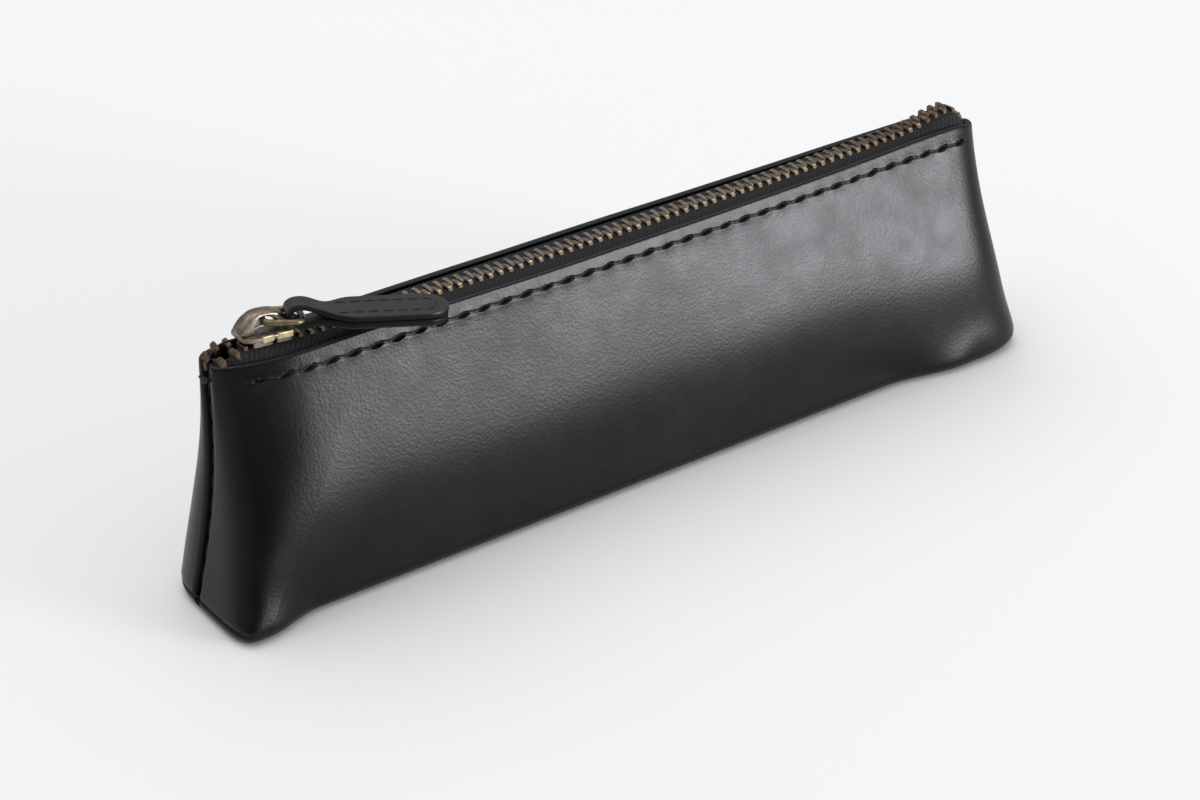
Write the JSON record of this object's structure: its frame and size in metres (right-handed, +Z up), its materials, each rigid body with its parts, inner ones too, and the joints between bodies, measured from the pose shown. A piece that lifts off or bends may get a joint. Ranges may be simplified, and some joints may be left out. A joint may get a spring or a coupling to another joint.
{
  "type": "pen case",
  "caption": "Slim leather pen case with a trapezoid profile, flat boxed base, metal zip along the top and a leather pull on the slider.",
  "frame": {"origin": "middle of the flat base, on the surface that the case stands on", "axes": "+X along the case towards the zip's open end stop, -Y out of the front wall, +Z up through the zip"},
  "size_m": [0.2068, 0.0396, 0.0613],
  "materials": {
    "case_leather": "smooth black leather, fine pebble grain, low sheen",
    "strap_leather": "smooth black leather, dark painted edges",
    "zip_tape": "black herringbone woven tape",
    "thread": "waxed black thread",
    "zip_brass": "aged brass, dull brown with bright rubbed edges",
    "hardware_brass": "aged brass, satin",
    "spring_steel": "bare spring steel"
  },
  "bodies": {
    "case": {"leather_body": "case_leather", "zip_tape_front": "zip_tape", "zip_tape_back": "zip_tape", "zip_teeth_front": "zip_brass", "zip_teeth_back": "zip_brass", "top_stop_front": "zip_brass", "top_stop_back": "zip_brass", "bottom_stop": "zip_brass", "front_edge_thread": "thread", "back_edge_thread": "thread", "left_end_seam_thread": "thread", "right_end_seam_thread": "thread", "left_corner_seam_thread": "thread", "right_corner_seam_thread": "thread"},
    "slider": {"slider_body": "hardware_brass", "slider_crown": "hardware_brass", "slider_lock_spring": "spring_steel"},
    "link": {"pull_link": "hardware_brass"},
    "pull": {"pull_strap": "strap_leather", "pull_thread": "thread"}
  },
  "joints": [
    {"name": "zip_slide", "type": "slide", "parent": "case", "child": "slider", "axis": [1, 0, 0], "range_m": [0, 0.1617], "deforming": ["zip_teeth_front", "zip_teeth_back"]},
    {"name": "link_swing", "type": "hinge", "parent": "slider", "child": "link", "pos_m": [-0.082, 0, 0.0593], "axis": [-0.3173, -0.9483, 0], "range_deg": [0, 160]},
    {"name": "strap_swing", "type": "hinge", "parent": "link", "child": "pull", "pos_m": [-0.07467, -0.00245, 0.05828], "axis": [-0.3173, -0.9483, 0], "range_deg": [0, 40]}
  ]
}
